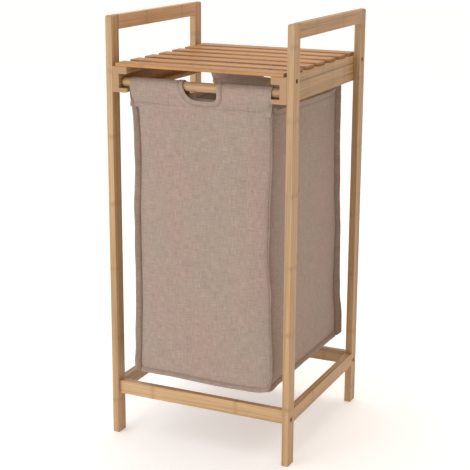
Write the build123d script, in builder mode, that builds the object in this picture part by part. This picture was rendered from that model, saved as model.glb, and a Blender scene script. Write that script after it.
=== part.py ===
"""Bamboo laundry stand: two ladder-like sides, a slatted shelf and a fabric bag that slides out on two bars.

Frame: millimetres, +Z up, origin on the floor under the middle of the stand, front towards -Y.
"""

import math
import os

from build123d import *

os.makedirs("parts", exist_ok=True)

# ---------------------------------------------------------------- overall
HEIGHT = 730.0  # floor to the top of the hand rails
WIDTH = 334.0  # over the outer faces of the posts
DEPTH = 328.0  # front face of the front posts to back face of the back posts

# ---------------------------------------------------------------- bamboo strips
STRIP_T = 12.0  # thickness of posts, hand rails and stretchers
POST_W = 24.0  # depth of a post, front to back
HAND_RAIL_H = 24.0
STRETCHER_H = 24.0
STRETCHER_Z = 72.0  # underside of the stretchers above the floor
STRIP_EASE = 1.0  # rounding of the strips' long edges
POST_TOP_R = 3.0  # rounding of a post's outer top corner

# ---------------------------------------------------------------- shelf and runners
BEARER_DROP = 82.0  # tops of the bearers that carry the slats, below the hand rails' tops
BEARER_H = 12.0
BEARER_W = 27.0
RUNNER_H = 30.5  # grooved board glued under each bearer
RUNNER_WEB_T = 12.0
RUNNER_FLANGE_T = 7.0
RUNNER_NOSE_R = 3.0  # rounding under the flange's free edge
SLAT_COUNT = 7
SLAT_W = 30.0
SLAT_T = 6.0
SLAT_END_INSET = 6.0  # slat end back from the bearer's outer face
SLAT_EASE = 1.2

# ---------------------------------------------------------------- screws and dowel pins
SCREW_R = 2.0
SCREW_LENGTH = 34.0  # under the head
SCREW_HEAD_R = 3.8
SCREW_HEAD_H = 2.6
SCREW_SOCKET_R = 2.1
SCREW_SOCKET_DEPTH = 1.6
SCREW_CLEARANCE = 0.25  # round the shank, inside the post
COUNTERBORE_R = 4.2
COUNTERBORE_DEPTH = 4.0
LOWER_SCREW_UP = 8.0  # screw above the underside of the stretcher
PIN_R = 3.0
PIN_LENGTH = 20.0
PIN_DEPTH_IN_POST = 7.0
LOWER_PIN_UP = 17.0  # pin above the underside of the stretcher

# ---------------------------------------------------------------- bars
BAR_R = 8.0
BAR_LIFT = 0.3  # bar above the flange it slides on
BAR_END_GAP = 1.0  # bar end to the bottom of the groove
BAR_END_CHAMFER = 1.0
FRONT_BAR_INSET = 16.0  # bar axis behind the front faces of the posts
BACK_BAR_INSET = 18.0  # bar axis in front of the back faces of the posts
GROOVE_STOP_GAP = 0.5  # back bar to the end of the groove

# ---------------------------------------------------------------- bag
CLOTH = 2.0
BAG_SIDE_GAP = 3.0  # bag side to the runner's free edge
BAG_BOTTOM = 117.0
BAG_SHOULDER_DOWN = 21.0  # top corners of the panels below the bars' axis
SIDE_SAG = 18.0  # dip of each side's top edge
SLEEVE_GAP = 0.3  # sleeve to bar
SLEEVE_INSET = 5.0  # sleeve end inside the bag's side
SLEEVE_SEAM_DOWN = 31.0  # seam that closes the sleeve, below the bar's axis
HAND_HOLE_W = 62.0
HAND_HOLE_DOWN = 24.0  # lower edge of the hand hole below the bar's axis
HAND_HOLE_R = 13.0

# ---------------------------------------------------------------- places worked out from the values above
POST_X = WIDTH / 2 - STRIP_T / 2
POST_Y = DEPTH / 2 - POST_W / 2
INNER_X = WIDTH / 2 - STRIP_T  # inner faces of the posts
CLEAR_DEPTH = DEPTH - 2 * POST_W
BEARER_TOP = HEIGHT - BEARER_DROP
STRETCHER_MID_Z = STRETCHER_Z + STRETCHER_H / 2
HAND_RAIL_MID_Z = HEIGHT - HAND_RAIL_H / 2
BEARER_MID_X = INNER_X - BEARER_W / 2
BEARER_BOTTOM = BEARER_TOP - BEARER_H
RUNNER_BOTTOM = BEARER_BOTTOM - RUNNER_H
FLANGE_TOP = RUNNER_BOTTOM + RUNNER_FLANGE_T
GROOVE_X = INNER_X - RUNNER_WEB_T  # bottom of the groove
UPPER_SCREW_Z = BEARER_TOP - BEARER_H / 2
LOWER_SCREW_Z = STRETCHER_Z + LOWER_SCREW_UP
LOWER_PIN_Z = STRETCHER_Z + LOWER_PIN_UP
BAR_Z = FLANGE_TOP + BAR_LIFT + BAR_R
FRONT_BAR_Y = -(DEPTH / 2 - FRONT_BAR_INSET)
BACK_BAR_Y = DEPTH / 2 - BACK_BAR_INSET
SLEEVE_IN_R = BAR_R + SLEEVE_GAP
SLEEVE_OUT_R = SLEEVE_IN_R + CLOTH
BAG_HALF_W = INNER_X - BEARER_W - BAG_SIDE_GAP
BAG_FRONT = FRONT_BAR_Y - SLEEVE_OUT_R
BAG_BACK = BACK_BAR_Y + SLEEVE_OUT_R
BAG_SHOULDER_Z = BAR_Z - BAG_SHOULDER_DOWN

SIDES = {"left": -1, "right": 1}
ENDS = {"front": -1, "back": 1}


def save(builder, name):
    """Label a finished piece and write it as its own STEP file."""
    builder.part.label = name
    export_step(builder.part, f"parts/{name}.step")


def outward(side, y, z, x=WIDTH / 2):
    """Plane on the side's face at (y, z), its normal pointing away from the stand."""
    return Plane(origin=(side * x, y, z), x_dir=(0, side, 0), z_dir=(side, 0, 0))


def lengthwise(end, side, z):
    """Plane on a post's inner end face, its normal pointing at the opposite post of the same side."""
    return Plane(origin=(side * POST_X, end * CLEAR_DEPTH / 2, z), x_dir=(1, 0, 0), z_dir=(0, -end, 0))


# ---------------------------------------------------------------- posts
for side_name, side in SIDES.items():
    for end_name, end in ENDS.items():
        with BuildPart() as post:
            with BuildSketch(Plane.XY):
                with Locations((side * POST_X, end * POST_Y)):
                    Rectangle(STRIP_T, POST_W)
            extrude(amount=HEIGHT)
            fillet(post.edges().filter_by(Axis.Z), radius=STRIP_EASE)
            top_edges = post.faces().sort_by(Axis.Z)[-1].edges().filter_by(Axis.X)
            fillet(top_edges.sort_by(Axis.Y)[0 if end < 0 else -1], radius=POST_TOP_R)
            with Locations(*[outward(side, end * POST_Y, z) for z in (UPPER_SCREW_Z, LOWER_SCREW_Z)]):
                CounterBoreHole(SCREW_R + SCREW_CLEARANCE, COUNTERBORE_R, COUNTERBORE_DEPTH)
            with Locations(*[lengthwise(end, side, z) for z in (HAND_RAIL_MID_Z, STRETCHER_MID_Z)]):
                Cylinder(PIN_R, 2 * PIN_DEPTH_IN_POST, mode=Mode.SUBTRACT)
            with Locations(outward(-side, end * POST_Y, LOWER_PIN_Z, x=-INNER_X)):
                Cylinder(PIN_R, 2 * PIN_DEPTH_IN_POST, mode=Mode.SUBTRACT)
        save(post, f"post_{end_name}_{side_name}")

# ---------------------------------------------------------------- hand rails and side stretchers
PIN_DEPTH_IN_RAIL = PIN_LENGTH - PIN_DEPTH_IN_POST
LENGTHWISE_STRIPS = {
    "hand_rail": (HAND_RAIL_MID_Z, HAND_RAIL_H),
    "side_stretcher": (STRETCHER_MID_Z, STRETCHER_H),
}
for strip_name, (mid_z, height) in LENGTHWISE_STRIPS.items():
    for side_name, side in SIDES.items():
        with BuildPart() as strip:
            with BuildSketch(Plane.XZ.offset(-CLEAR_DEPTH / 2)):
                with Locations((side * POST_X, mid_z)):
                    Rectangle(STRIP_T, height)
            extrude(amount=CLEAR_DEPTH)
            fillet(strip.edges().filter_by(Axis.Y), radius=STRIP_EASE)
            with Locations(*[lengthwise(end, side, mid_z) for end in ENDS.values()]):
                Cylinder(PIN_R, 2 * PIN_DEPTH_IN_RAIL, mode=Mode.SUBTRACT)
        save(strip, f"{strip_name}_{side_name}")

# ---------------------------------------------------------------- front and back stretchers
for end_name, end in ENDS.items():
    with BuildPart() as stretcher:
        with BuildSketch(Plane.YZ.offset(-INNER_X)):
            with Locations((end * POST_Y, STRETCHER_MID_Z)):
                Rectangle(STRIP_T, STRETCHER_H)
        extrude(amount=2 * INNER_X)
        fillet(stretcher.edges().filter_by(Axis.X), radius=STRIP_EASE)
        with Locations(*[outward(side, end * POST_Y, LOWER_SCREW_Z) for side in SIDES.values()]):
            Cylinder(SCREW_R, 2 * (COUNTERBORE_DEPTH + SCREW_LENGTH), mode=Mode.SUBTRACT)
        with Locations(*[outward(side, end * POST_Y, LOWER_PIN_Z, INNER_X) for side in SIDES.values()]):
            Cylinder(PIN_R, 2 * PIN_DEPTH_IN_RAIL, mode=Mode.SUBTRACT)
    save(stretcher, f"{end_name}_stretcher")

# ---------------------------------------------------------------- shelf bearers
for side_name, side in SIDES.items():
    with BuildPart() as bearer:
        with BuildSketch(Plane.XZ.offset(-DEPTH / 2)):
            with Locations((side * BEARER_MID_X, BEARER_TOP - BEARER_H / 2)):
                Rectangle(BEARER_W, BEARER_H)
        extrude(amount=DEPTH)
        inner_edges = bearer.edges().filter_by(Axis.Y).group_by(Axis.X)[-1 if side < 0 else 0]
        fillet(inner_edges, radius=STRIP_EASE)
        with Locations(*[outward(side, end * POST_Y, UPPER_SCREW_Z) for end in ENDS.values()]):
            Cylinder(SCREW_R, 2 * (COUNTERBORE_DEPTH + SCREW_LENGTH), mode=Mode.SUBTRACT)
    save(bearer, f"shelf_bearer_{side_name}")

# ---------------------------------------------------------------- grooved runners, closed above by the bearers
GROOVE_END_Y = BACK_BAR_Y + BAR_R + GROOVE_STOP_GAP
for side_name, side in SIDES.items():
    with BuildPart() as runner:
        with BuildSketch(Plane.XZ.offset(-DEPTH / 2)):
            with Locations((side * BEARER_MID_X, RUNNER_BOTTOM + RUNNER_H / 2)):
                Rectangle(BEARER_W, RUNNER_H)
        extrude(amount=DEPTH)
        nose = runner.edges().filter_by(Axis.Y).group_by(Axis.Z)[0].sort_by(Axis.X)[-1 if side < 0 else 0]
        fillet(nose, radius=RUNNER_NOSE_R)
        groove_w = BEARER_W - RUNNER_WEB_T
        with BuildSketch(Plane.XZ.offset(DEPTH / 2)):
            with Locations((side * (GROOVE_X - groove_w / 2), (FLANGE_TOP + BEARER_BOTTOM) / 2)):
                Rectangle(groove_w, BEARER_BOTTOM - FLANGE_TOP)
        extrude(amount=-(GROOVE_END_Y + DEPTH / 2), mode=Mode.SUBTRACT)
    save(runner, f"grooved_runner_{side_name}")

# ---------------------------------------------------------------- shelf slats
SLAT_LENGTH = 2 * (INNER_X - SLAT_END_INSET)
SLAT_PITCH = (DEPTH - SLAT_W) / (SLAT_COUNT - 1)
for index in range(SLAT_COUNT):
    with BuildPart() as slat:
        with BuildSketch(Plane.YZ.offset(-SLAT_LENGTH / 2)):
            with Locations((-(DEPTH - SLAT_W) / 2 + index * SLAT_PITCH, BEARER_TOP + SLAT_T / 2)):
                Rectangle(SLAT_W, SLAT_T)
        extrude(amount=SLAT_LENGTH)
        fillet(slat.edges().filter_by(Axis.X), radius=SLAT_EASE)
    save(slat, f"shelf_slat_{index + 1}")

# ---------------------------------------------------------------- screws, sunk in the posts' outer faces
screw_places = [
    outward(side, end * POST_Y, z, WIDTH / 2 - COUNTERBORE_DEPTH)
    for side in SIDES.values()
    for end in ENDS.values()
    for z in (UPPER_SCREW_Z, LOWER_SCREW_Z)
]
with BuildPart() as screws:
    with Locations(*screw_places):
        Cylinder(SCREW_HEAD_R, SCREW_HEAD_H, align=(Align.CENTER, Align.CENTER, Align.MIN))
        Cylinder(SCREW_R, SCREW_LENGTH, align=(Align.CENTER, Align.CENTER, Align.MAX))
    with BuildSketch(*[place.offset(SCREW_HEAD_H) for place in screw_places]):
        RegularPolygon(SCREW_SOCKET_R, 6)
    extrude(amount=-SCREW_SOCKET_DEPTH, mode=Mode.SUBTRACT)
save(screws, "frame_screws")

# ---------------------------------------------------------------- hidden dowel pins
pin_places = [
    lengthwise(end, side, z).offset(-PIN_DEPTH_IN_POST)
    for side in SIDES.values()
    for end in ENDS.values()
    for z in (HAND_RAIL_MID_Z, STRETCHER_MID_Z)
]
pin_places += [
    outward(-side, end * POST_Y, LOWER_PIN_Z, -INNER_X).offset(-PIN_DEPTH_IN_POST)
    for side in SIDES.values()
    for end in ENDS.values()
]
with BuildPart() as pins:
    with Locations(*pin_places):
        Cylinder(PIN_R, PIN_LENGTH, align=(Align.CENTER, Align.CENTER, Align.MIN))
save(pins, "dowel_pins")

# ---------------------------------------------------------------- bars that carry the bag
BAR_LENGTH = 2 * (GROOVE_X - BAR_END_GAP)
for end_name, bar_y in (("front", FRONT_BAR_Y), ("back", BACK_BAR_Y)):
    with BuildPart() as bar:
        with BuildSketch(Plane.YZ.offset(-BAR_LENGTH / 2)):
            with Locations((bar_y, BAR_Z)):
                Circle(BAR_R)
        extrude(amount=BAR_LENGTH)
        chamfer(bar.edges().filter_by(GeomType.CIRCLE), length=BAR_END_CHAMFER)
    save(bar, f"{end_name}_bar")

# ---------------------------------------------------------------- front and back panels, each with its sleeve
SEAM_Z = BAR_Z - SLEEVE_SEAM_DOWN
SLEEVE_OUTLINES = (  # radius round the bar, height and width of the foot, mode
    (SLEEVE_OUT_R, SEAM_Z, 2 * CLOTH, Mode.ADD),
    (SLEEVE_IN_R, SEAM_Z + 2 * CLOTH, CLOTH / 2, Mode.SUBTRACT),
)
PANELS = {"front": (-1, FRONT_BAR_Y, BAG_FRONT), "back": (1, BACK_BAR_Y, BAG_BACK)}
for end_name, (end, bar_y, face_y) in PANELS.items():
    inner_y = face_y - end * CLOTH
    with BuildPart() as panel:
        with BuildSketch(Plane.YZ.offset(-BAG_HALF_W)):
            with Locations(((face_y + inner_y) / 2, (BAG_BOTTOM + BAG_SHOULDER_Z) / 2)):
                Rectangle(CLOTH, BAG_SHOULDER_Z - BAG_BOTTOM)
        extrude(amount=2 * BAG_HALF_W)
        with BuildSketch(Plane.YZ.offset(-(BAG_HALF_W - SLEEVE_INSET))):
            for radius, foot_z, foot_w, mode in SLEEVE_OUTLINES:
                edge_y = bar_y + end * radius
                foot = Vector(edge_y - end * foot_w, foot_z)
                down = foot - Vector(bar_y, BAR_Z)
                turn = math.degrees(math.acos(radius / down.length))
                tangent = Vector(bar_y, BAR_Z) + down.normalized().rotate(Axis.Z, -end * turn) * radius
                with BuildLine():
                    Polyline((edge_y, BAR_Z), (edge_y, foot_z), foot, tangent)
                    ThreePointArc(tangent, (bar_y, BAR_Z + radius), (edge_y, BAR_Z))
                make_face(mode=mode)
        extrude(amount=2 * (BAG_HALF_W - SLEEVE_INSET))
        if end_name == "front":
            hole_z = BAR_Z - HAND_HOLE_DOWN
            with BuildSketch(Plane.XZ.offset(-face_y - 3 * SLEEVE_OUT_R)):
                with Locations((0, hole_z)):
                    Rectangle(HAND_HOLE_W, 4 * SLEEVE_OUT_R, align=(Align.CENTER, Align.MIN))
                fillet(vertices().group_by(Axis.Y)[0], radius=HAND_HOLE_R)
            extrude(amount=6 * SLEEVE_OUT_R, mode=Mode.SUBTRACT)
    save(panel, f"bag_{end_name}_panel")

# ---------------------------------------------------------------- side and base panels
SIDE_FRONT = BAG_FRONT + CLOTH
SIDE_BACK = BAG_BACK - CLOTH
for side_name, side in SIDES.items():
    with BuildPart() as side_panel:
        with BuildSketch(Plane.YZ.offset(side * (BAG_HALF_W - CLOTH / 2) - CLOTH / 2)):
            with BuildLine():
                Polyline(
                    (SIDE_BACK, BAG_SHOULDER_Z),
                    (SIDE_BACK, BAG_BOTTOM),
                    (SIDE_FRONT, BAG_BOTTOM),
                    (SIDE_FRONT, BAG_SHOULDER_Z),
                )
                ThreePointArc(
                    (SIDE_FRONT, BAG_SHOULDER_Z),
                    ((SIDE_FRONT + SIDE_BACK) / 2, BAG_SHOULDER_Z - SIDE_SAG),
                    (SIDE_BACK, BAG_SHOULDER_Z),
                )
            make_face()
        extrude(amount=CLOTH)
    save(side_panel, f"bag_side_{side_name}")

with BuildPart() as base:
    with BuildSketch(Plane.XY.offset(BAG_BOTTOM)):
        with Locations((0, (SIDE_FRONT + SIDE_BACK) / 2)):
            Rectangle(2 * (BAG_HALF_W - CLOTH), SIDE_BACK - SIDE_FRONT)
    extrude(amount=CLOTH)
save(base, "bag_base")
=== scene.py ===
"""Looks of the bamboo laundry stand.

Every CAD part gets a finish, and the CAD's bag panels are replaced by a sewn linen bag that hangs on the two bars.
"""

import math

import bmesh
import bpy
from mathutils import Matrix, Vector, noise


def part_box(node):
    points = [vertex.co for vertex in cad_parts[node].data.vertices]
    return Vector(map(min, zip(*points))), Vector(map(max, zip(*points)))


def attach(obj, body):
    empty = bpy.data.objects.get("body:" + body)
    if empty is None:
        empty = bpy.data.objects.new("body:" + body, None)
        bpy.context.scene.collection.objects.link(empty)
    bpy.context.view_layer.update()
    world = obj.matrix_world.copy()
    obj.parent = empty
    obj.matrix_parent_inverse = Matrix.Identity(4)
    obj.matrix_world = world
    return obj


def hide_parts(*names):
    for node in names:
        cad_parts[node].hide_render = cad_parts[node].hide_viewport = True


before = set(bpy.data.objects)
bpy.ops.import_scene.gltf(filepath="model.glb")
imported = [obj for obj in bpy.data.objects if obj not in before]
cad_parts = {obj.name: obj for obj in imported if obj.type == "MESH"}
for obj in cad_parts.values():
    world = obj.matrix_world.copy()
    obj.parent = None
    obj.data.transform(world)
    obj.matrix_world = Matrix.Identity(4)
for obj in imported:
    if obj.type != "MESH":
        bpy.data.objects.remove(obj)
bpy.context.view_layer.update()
scene = bpy.context.scene

# ---------------------------------------------------------------- sizes of the sewn bag, in metres
CLOTH_T = 0.0009
FIN_W = 0.0105  # seam allowance that stands out along each upright seam
FIN_STEPS = (1.0, 0.8, 0.6, 0.42, 0.26, 0.12)  # shares of an allowance, from its edge to its seam
FIN_GAP = 0.00052  # from the middle of a seam to the middle of each of its two layers
BASE_FIN_H = 0.0075  # seam allowance round the base
# how the seam round the base rises and falls: (x, height)
BASE_LINE = (
    (-0.125, 0.0022), (-0.10, 0.0010), (-0.05, 0.0013), (0.0, -0.0003),
    (0.05, -0.0010), (0.09, -0.0004), (0.11, 0.0012), (0.128, 0.0058),
)
SIDE_LIFT = 0.0032  # the base is pulled up this much along its right side
SIDE_Y = (-0.152, 0.150)  # front and back seam of a side panel
SIDE_SPAN = 0.302  # between them, on the flat cloth
SIDE_FIN_Y = 0.151  # where both ends' allowances read the height of the top edge and of the base seam
SIDE_FLAT_H = 0.470  # flat cloth of a side, from the base seam to the fold of its hem
SIDE_CAP_Z = 0.594  # above this the side panels follow the seams' place at this height
BASE_SPAN = 0.237  # flat width of the base between its seams
BASE_CORNER_Z = 0.125  # height at which the upright seams give the base its corners
HEM_H = 0.0078  # hem turned over along the top of each side
HOLE_BAND_W = 0.0086  # facing sewn round each hand hole
HOLE_SHIFT = 0.006  # the back panel's hand hole sits this far to the right
HOLE_DROP = 0.0035  # and this much lower than the front one
PAINTED_LINE_REACH = 0.0022  # half width of the painted shade line along an upright seam
STITCH_PITCH = 0.0034
STITCH_LENGTH = 0.0024
THREAD_R = 0.00028

front_bar_lo, front_bar_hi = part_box("front_bar")
back_bar_lo, back_bar_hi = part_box("back_bar")
BAR_R = (front_bar_hi.z - front_bar_lo.z) / 2
BAR_Z = (front_bar_hi.z + front_bar_lo.z) / 2
BAR_Y = {-1: (front_bar_hi.y + front_bar_lo.y) / 2, 1: (back_bar_hi.y + back_bar_lo.y) / 2}
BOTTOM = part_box("bag_base")[0].z
SLEEVE_A = BAR_R + 0.0015  # half depth of the sleeve round the bar
SLEEVE_B = BAR_R + 0.0007  # its half height over the bar
FACE_Y = {end: BAR_Y[end] + end * SLEEVE_A for end in (-1, 1)}
SEAM_Z = BAR_Z - 0.031  # stitched line that closes the sleeves
SLEEVE_X = {-1: -0.1255, 1: 0.1255}
CORNER_IN = 0.006  # seams lie this far behind the faces
SEAM_X = {(-1, -1): -0.1130, (-1, 1): 0.1260, (1, -1): -0.1190, (1, 1): 0.1240}
# Keys of the tables below are (end, side): -1 is the front end or the left side, 1 the back end or the right side.
# how the upright seams wander: (height, x) from the bottom up
SEAM_LINES = {
    (-1, -1): (
        (0.118, -0.1125), (0.135, -0.1160), (0.17, -0.1145), (0.26, -0.1122),
        (0.40, -0.1132), (0.50, -0.1106), (0.60, -0.1150),
    ),
    (-1, 1): (
        (0.122, 0.1225), (0.130, 0.1268), (0.145, 0.1308), (0.18, 0.1312), (0.22, 0.1288), (0.29, 0.1270),
        (0.35, 0.1228), (0.44, 0.1245), (0.54, 0.1268), (0.61, 0.1258),
    ),
    (1, -1): ((0.12, -0.1215), (0.25, -0.1185), (0.45, -0.1175), (0.60, -0.1190)),
    (1, 1): (
        (0.12, 0.1290), (0.17, 0.1280), (0.22, 0.1242), (0.33, 0.1252),
        (0.42, 0.1212), (0.57, 0.1198), (0.61, 0.1210),
    ),
}
FIN_TOPS = {(-1, -1): 0.606, (-1, 1): 0.617, (1, -1): 0.606, (1, 1): 0.610}  # where the allowances end
FIN_RISE = {(-1, -1): 0.031, (-1, 1): 0.018, (1, -1): 0.031, (1, 1): 0.026}  # they widen over this height
SEAM_SHADE = {(-1, -1): 1.0, (-1, 1): 0.35, (1, -1): 0.8, (1, 1): 0.8}  # strength of the painted shade along each upright seam
# which way the allowances stand out: (x, y)
FIN_DIRECTION = {(-1, -1): (-0.70, -0.71), (-1, 1): (0.42, -0.91), (1, -1): (-0.70, 0.71), (1, 1): (0.76, 0.65)}


def clamp(value, low=0.0, high=1.0):
    return max(low, min(high, value))


def smooth(value):
    value = clamp(value)
    return value * value * (3 - 2 * value)


def mix(a, b, share):
    return a + (b - a) * share


def run(first, last, steps):
    """Even values from first to last."""
    return [mix(first, last, k / steps) for k in range(steps + 1)]


def ripple(scale, seed, *place):
    """Repeatable noise from -1 to 1, with bumps about 1/scale metres long."""
    place = (list(place) + [0.0, 0.0])[:3]
    return noise.noise(Vector(place) * scale + Vector((seed * 7.31, seed * 3.17, seed * 1.93)))


# ---------------------------------------------------------------- the bag's seam lines
def along(value, anchors):
    """Smooth line through (value, result) anchors that are in rising order."""
    if value <= anchors[0][0]:
        return anchors[0][1]
    for k in range(len(anchors) - 1):
        (a, first), (b, second) = anchors[k], anchors[k + 1]
        if value <= b:
            before, after = anchors[max(0, k - 1)], anchors[min(len(anchors) - 1, k + 2)]
            slope_a = (second - before[1]) / (b - before[0])
            slope_b = (after[1] - first) / (after[0] - a)
            t, run = (value - a) / (b - a), b - a
            return (
                (2 * t**3 - 3 * t**2 + 1) * first
                + (t**3 - 2 * t**2 + t) * run * slope_a
                + (3 * t**2 - 2 * t**3) * second
                + (t**3 - t**2) * run * slope_b
            )
    return anchors[-1][1]


def seam_z(x, y=-0.15):
    """Height of the seams round the base."""
    lift = SIDE_LIFT * smooth((x - 0.05) / 0.07) * smooth((y + 0.150) / 0.03) * (1 - 0.7 * smooth(y / 0.15))
    return BOTTOM + BASE_FIN_H + along(x, BASE_LINE) + lift


def corner(end, side, z):
    """Where the upright seam between an end panel and a side panel lies at height z."""
    top, rise = FIN_TOPS[end, side], FIN_RISE[end, side]
    low = smooth((top - z) / rise)
    x = along(z, SEAM_LINES[end, side]) + 0.0006 * ripple(22, 3 + end + 2 * side, z)
    y = FACE_Y[end] - end * CORNER_IN * low
    return Vector((mix(SLEEVE_X[side], x, low), y, z))


def fin(end, side, z):
    """The step from the seam to the edge of its allowance at height z."""
    wide = FIN_W * mix(0.07, 1.0, smooth((FIN_TOPS[end, side] - z) / FIN_RISE[end, side]))
    if (end, side) == (-1, 1):
        wide *= 0.6
    if (end, side) == (1, 1):
        wide *= 1 + 0.35 * smooth((0.34 - z) / 0.2)
    wide *= 1 + 0.10 * ripple(28, 11 + end + 2 * side, z)
    dx, dy = FIN_DIRECTION[end, side]
    sway = 0.20 * ripple(19, 5 + end + 2 * side, z) + 0.12 * ripple(46, 8 + end - side, z)
    sway *= smooth((FIN_TOPS[end, side] - z) / 0.04)
    return Vector((dx - dy * sway * 0.9, dy + dx * sway * 0.9, 0.10 * sway)) * wide


def crease(distance, reach=0.0016):
    """Strength of a seam line at some distance from it."""
    return clamp(1 - abs(distance) / reach)


def base_fin(outward):
    """The step from a seam round the base down to the edge of its allowance."""
    return Vector((outward[0] * 0.40, outward[1] * 0.40, -0.92)) * BASE_FIN_H


def rounded(a, b):
    """Turns the square patch where two allowances meet into a quarter disc."""
    less = 1 - 0.22 * a * b
    return a * less * math.sqrt(1 - b * b / 2), b * less * math.sqrt(1 - a * a / 2)


def edge(u, power=6.0):
    """1 over most of a panel, falling to 0 at its seams."""
    return 1 - abs(2 * u - 1) ** power


# ---------------------------------------------------------------- sleeve round a bar
def sleeve_line(end):
    """(y, z) points from the sleeve's lower seam up the outside, over the bar and down to the seam inside."""
    line = []
    rise = BAR_Z - SEAM_Z
    line += [(FACE_Y[end], SEAM_Z + rise * k / 20) for k in range(20)]
    turn = math.radians(208)
    for k in range(26):
        angle = turn * k / 25
        line.append((BAR_Y[end] + end * SLEEVE_A * math.cos(angle), BAR_Z + SLEEVE_B * math.sin(angle)))
    y0, z0 = line[-1]
    y1, z1 = FACE_Y[end] - end * 0.0016, SEAM_Z + 0.0004
    line += [(mix(y0, y1, k / 14), mix(z0, z1, k / 14)) for k in range(1, 15)]
    line += [(y1, z1 - 0.0019 * k) for k in range(1, 5)]
    return line


class EndPanel:
    """Front or back panel as a surface: x across, s up along the cloth, which equals z on the outside face."""

    def __init__(self, end):
        self.end = end
        self.line = sleeve_line(end)
        self.s = [SEAM_Z]
        for (ya, za), (yb, zb) in zip(self.line, self.line[1:]):
            self.s.append(self.s[-1] + math.hypot(yb - ya, zb - za))
        self.top_s = self.s[-1]

    def spot(self, s):
        """(y, z, normal) of the sleeve's line at s, or of the flat face below it."""
        if s <= SEAM_Z:
            return FACE_Y[self.end], s, Vector((0, self.end, 0))
        k = 1
        while k < len(self.s) - 1 and self.s[k] < s:
            k += 1
        share = clamp((s - self.s[k - 1]) / (self.s[k] - self.s[k - 1]))
        (ya, za), (yb, zb) = self.line[k - 1], self.line[k]
        before, after = self.line[max(0, k - 2)], self.line[min(len(self.line) - 1, k + 1)]
        tangent = Vector((0, after[0] - before[0], after[1] - before[1])).normalized()
        normal = Vector((0, tangent.z, -tangent.y)) * self.end
        return mix(ya, yb, share), mix(za, zb, share), normal

    def lift(self, x, s):
        """Soft unevenness of the cloth along its normal."""
        high = smooth((s - 0.60) / 0.01)
        body = 0.0013 * ripple(9, 21 + self.end, x, s) + 0.0007 * ripple(24, 24 + self.end, x, s * 0.7)
        body += 0.0006 * ripple(38, 27 + self.end, x * 1.4, s * 0.35)
        sleeve = 0.00028 * (1 + ripple(60, 31 + self.end, x, s * 0.4))
        return mix(body * smooth((s - BOTTOM) / 0.03), sleeve, high)

    def on(self, x, s, proud=0.0):
        """Point of the cloth's middle at (x, s), moved out by proud."""
        y, z, normal = self.spot(s)
        return Vector((x, y, z)) + normal * (self.lift(x, s) + proud)

    def body(self, u, s):
        """Point at share u of the width between the two upright seams."""
        left, right = corner(self.end, -1, min(s, BAR_Z)), corner(self.end, 1, min(s, BAR_Z))
        x = mix(left.x, right.x, u)
        y, z, normal = self.spot(s)
        near = -1 if u < 0.5 else 1
        low = smooth((FIN_TOPS[self.end, near] - s) / FIN_RISE[self.end, near])
        back = CORNER_IN * low * (1 - edge(u)) + CORNER_IN * (1 - smooth((s - seam_z(x, y)) / 0.026)) * edge(u)
        back += 0.0012 * crease(min(u, 1 - u) * (right.x - left.x), 0.004) * low
        wander = self.lift(x, s) * mix(smooth(min(u, 1 - u) / 0.04), 1.0, smooth((s - SEAM_Z) / 0.018))
        end_wave = 0.0007 * ripple(90, 41 + self.end, s) * smooth((s - 0.606) / 0.01) * (abs(2 * u - 1) ** 8)
        return Vector((x + end_wave, y, z)) + normal * (wander - back)


def hand_hole(panel):
    """Closed outline (x, s) of the slot for a hand: it runs over the bar and down the sleeve's inside layer."""
    half = [
        (-0.0306, 0.0120), (-0.0300, 0.0055), (-0.0282, -0.0015), (-0.0250, -0.0085), (-0.0200, -0.0142),
        (-0.0130, -0.0184), (-0.0040, -0.0205), (0.0090, -0.0212), (0.0210, -0.0209), (0.0286, -0.0196),
        (0.0320, -0.0155), (0.0325, -0.0060), (0.0324, 0.0020), (0.0318, 0.0120),
    ]
    if panel.end > 0:
        half = [(HOLE_SHIFT - x, dz - HOLE_DROP) for x, dz in reversed(half)]
    # where the inside layer passes the height of the bar's axis, measured along the cloth
    s_at_back = next(s for s, (y, z) in zip(panel.s, panel.line) if s > BAR_Z + 0.028 and z < BAR_Z)
    outside = [(x, BAR_Z + dz) for x, dz in half]
    inside = [(x, s_at_back - dz) for x, dz in reversed(half)]
    corners = outside + inside
    points = []
    count = len(corners)
    for k in range(count):
        a, b, c, d = (Vector(corners[(k + step) % count]) for step in (-1, 0, 1, 2))
        steps = max(2, int((c - b).length / 0.0012))
        for j in range(steps):
            t = j / steps
            points.append(
                0.5 * (2 * b + (c - a) * t + (2 * a - 5 * b + 4 * c - d) * t**2 + (3 * b - a - 3 * c + d) * t**3)
            )
    return points


def inside_of(outline, x, s):
    """Whether (x, s) is inside a closed outline."""
    found = False
    previous = outline[-1]
    for point in outline:
        if (point.y > s) != (previous.y > s):
            if x < (previous.x - point.x) * (s - point.y) / (previous.y - point.y) + point.x:
                found = not found
        previous = point
    return found


# ---------------------------------------------------------------- mesh helpers
def new_object(name, vertices, faces, flat=None, lines=None):
    """A smooth mesh object; flat gives each vertex its place in the cut cloth, lines how near a seam it is, as the
    strength of the painted shade there.
    """
    mesh = bpy.data.meshes.new(name)
    mesh.from_pydata([tuple(v) for v in vertices], [], faces)
    mesh.update()
    mesh.shade_smooth()
    if flat is not None:
        attribute = mesh.attributes.new("cut", "FLOAT_VECTOR", "POINT")
        attribute.data.foreach_set("vector", [c for f in flat for c in (f[0], f[1], 0.0)])
    # the seam attribute carries painted shade along seams, folds and the facing's edges into the linen's colour
    if lines is not None:
        mesh.attributes.new("seam", "FLOAT", "POINT").data.foreach_set("value", lines)
    made = bpy.data.objects.new(name, mesh)
    scene.collection.objects.link(made)
    return made


def grid_faces(rows, columns, skip=()):
    """Quads over a grid of vertices stored row by row, without the (row, column) cells to skip."""
    return [
        (r * columns + c, r * columns + c + 1, (r + 1) * columns + c + 1, (r + 1) * columns + c)
        for r in range(rows - 1)
        for c in range(columns - 1)
        if (r, c) not in skip
    ]


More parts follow.
